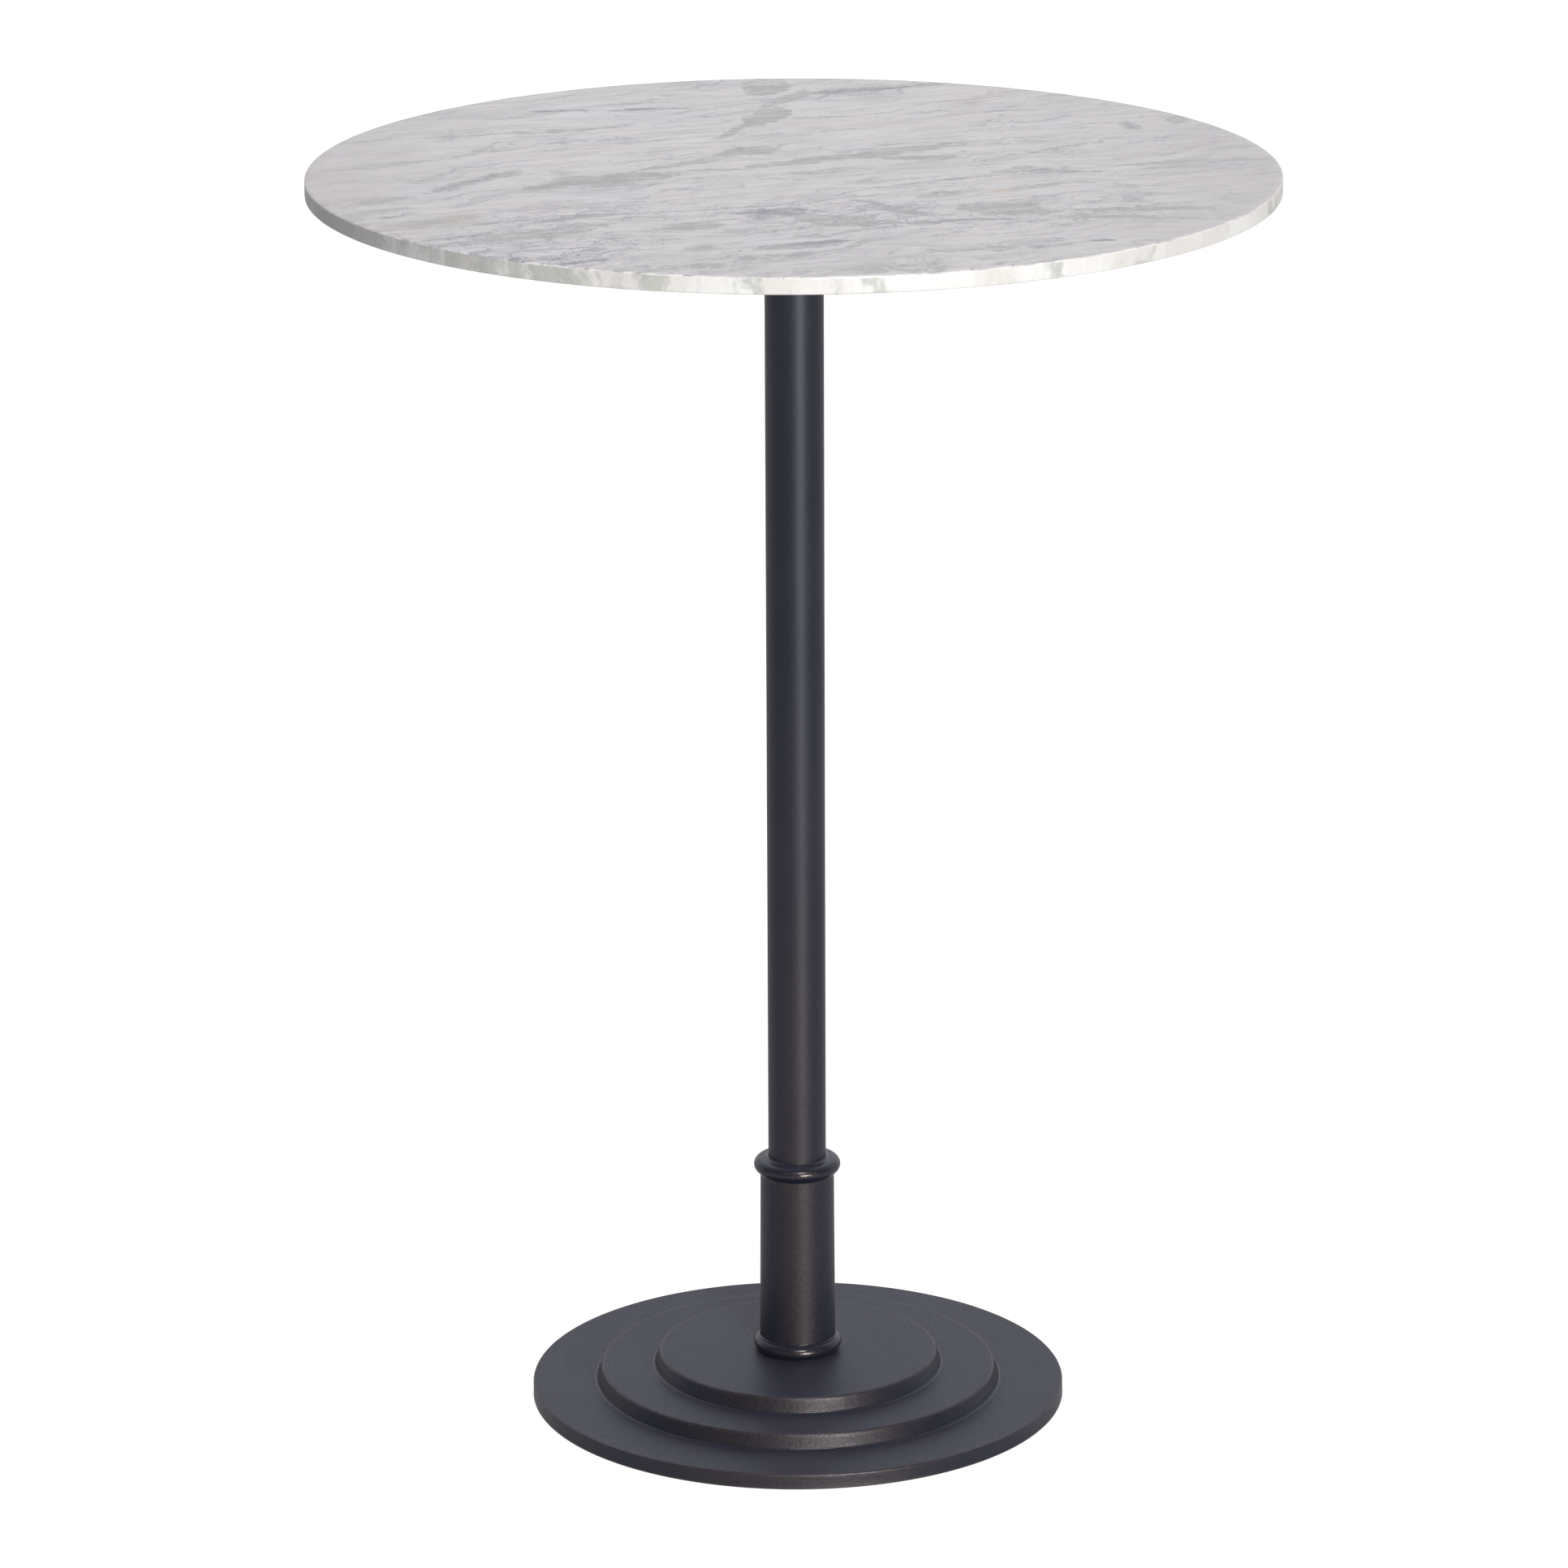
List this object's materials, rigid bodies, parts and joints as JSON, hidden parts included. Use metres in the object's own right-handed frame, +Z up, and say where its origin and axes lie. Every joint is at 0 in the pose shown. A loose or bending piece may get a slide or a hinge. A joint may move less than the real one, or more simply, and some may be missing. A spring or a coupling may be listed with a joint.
{
  "type": "bistro table",
  "caption": "Bar-height round pedestal table: thin marble top on a slim metal column with a collared sleeve and a stepped round cast base.",
  "frame": {"origin": "on the floor, at the centre of the base", "axes": "+Z up along the column; -Y towards the viewer; the grub screws of the collar and hub are on the +Y side"},
  "size_m": [0.7999, 0.8, 1.067],
  "materials": {
    "marble": "polished white marble with fine grey streaks, edge ground and less polished",
    "bronze_paint": "satin blackened bronze, warmer brown where worn",
    "bronze_casting": "satin blackened bronze over fine cast texture, arrises rubbed brown",
    "raw_casting": "sand-cast, black primer",
    "zinc_steel": "bright zinc plate",
    "black_steel": "black oxide",
    "brass": "turned",
    "cork": "pressed cork",
    "nylon": "moulded nylon"
  },
  "bodies": {
    "table": {"marble_top": "marble", "top_inserts": "brass", "top_screws": "zinc_steel", "top_washers": "zinc_steel", "cushion_pads": "cork", "top_spider": "raw_casting", "hub_set_screws": "black_steel", "column_tube": "bronze_paint", "tie_rod": "zinc_steel", "rod_top_washer": "zinc_steel", "rod_top_nut": "zinc_steel", "rod_plate_washer": "zinc_steel", "rod_spring_washer": "zinc_steel", "rod_bottom_nut": "zinc_steel", "base_casting": "bronze_casting", "column_sleeve": "bronze_paint", "upper_collar": "bronze_paint", "collar_set_screws": "black_steel", "lower_collar": "bronze_paint"},
    "pad_1": {"glide_pad_1": "nylon"},
    "stem_1": {"glide_stem_1": "zinc_steel"},
    "pad_2": {"glide_pad_2": "nylon"},
    "stem_2": {"glide_stem_2": "zinc_steel"},
    "pad_3": {"glide_pad_3": "nylon"},
    "stem_3": {"glide_stem_3": "zinc_steel"},
    "pad_4": {"glide_pad_4": "nylon"},
    "stem_4": {"glide_stem_4": "zinc_steel"}
  },
  "joints": [
    {"name": "glide_1_extension", "type": "slide", "parent": "table", "child": "pad_1", "axis": [0, 0, -1], "range_m": [0, 0.006]},
    {"name": "glide_1_turn", "type": "hinge", "parent": "pad_1", "child": "stem_1", "pos_m": [0.10607, 0.10607, 0.0045], "axis": [0, 0, -1], "range_deg": [0, 1728]},
    {"name": "glide_2_extension", "type": "slide", "parent": "table", "child": "pad_2", "axis": [0, 0, -1], "range_m": [0, 0.006]},
    {"name": "glide_2_turn", "type": "hinge", "parent": "pad_2", "child": "stem_2", "pos_m": [-0.10607, 0.10607, 0.0045], "axis": [0, 0, -1], "range_deg": [0, 1728]},
    {"name": "glide_3_extension", "type": "slide", "parent": "table", "child": "pad_3", "axis": [0, 0, -1], "range_m": [0, 0.006]},
    {"name": "glide_3_turn", "type": "hinge", "parent": "pad_3", "child": "stem_3", "pos_m": [-0.10607, -0.10607, 0.0045], "axis": [0, 0, -1], "range_deg": [0, 1728]},
    {"name": "glide_4_extension", "type": "slide", "parent": "table", "child": "pad_4", "axis": [0, 0, -1], "range_m": [0, 0.006]},
    {"name": "glide_4_turn", "type": "hinge", "parent": "pad_4", "child": "stem_4", "pos_m": [0.10607, -0.10607, 0.0045], "axis": [0, 0, -1], "range_deg": [0, 1728]}
  ],
  "couplings": [
    {"joint": "glide_1_turn", "follows": "glide_1_extension", "rad_per_m": 5026.5},
    {"joint": "glide_2_turn", "follows": "glide_2_extension", "rad_per_m": 5026.5},
    {"joint": "glide_3_turn", "follows": "glide_3_extension", "rad_per_m": 5026.5},
    {"joint": "glide_4_turn", "follows": "glide_4_extension", "rad_per_m": 5026.5}
  ]
}
